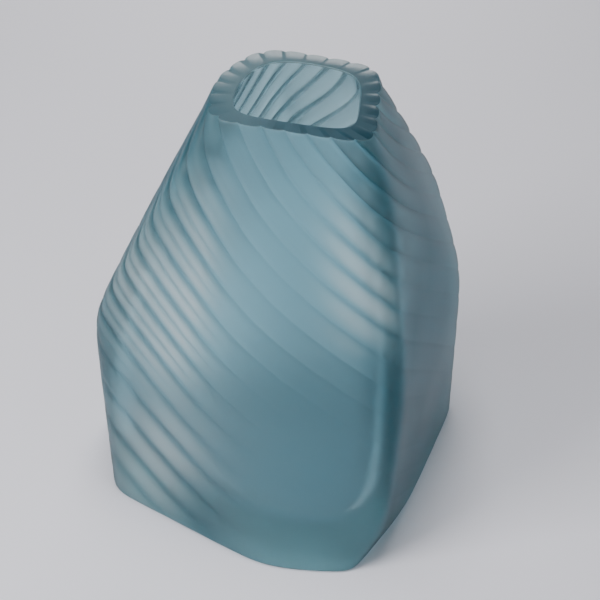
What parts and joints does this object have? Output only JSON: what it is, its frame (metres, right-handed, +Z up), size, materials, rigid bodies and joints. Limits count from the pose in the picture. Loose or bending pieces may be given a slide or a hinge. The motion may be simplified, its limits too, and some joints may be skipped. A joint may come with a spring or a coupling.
{
  "type": "vase",
  "caption": "Heavy hand blown glass vase with a leaning, softly faceted body, slanting ribs, a flat ground mouth and a flat foot.",
  "frame": {"origin": "middle of the body's box at the flat foot", "axes": "+Z up through the mouth; -Y towards the broad front facet; the body's far corner points to -X"},
  "size_m": [0.211, 0.1744, 0.262],
  "materials": {
    "teal_glass": "satin etched outside, smooth inside"
  },
  "bodies": {
    "root": {"vase_body": "teal_glass"}
  },
  "joints": []
}
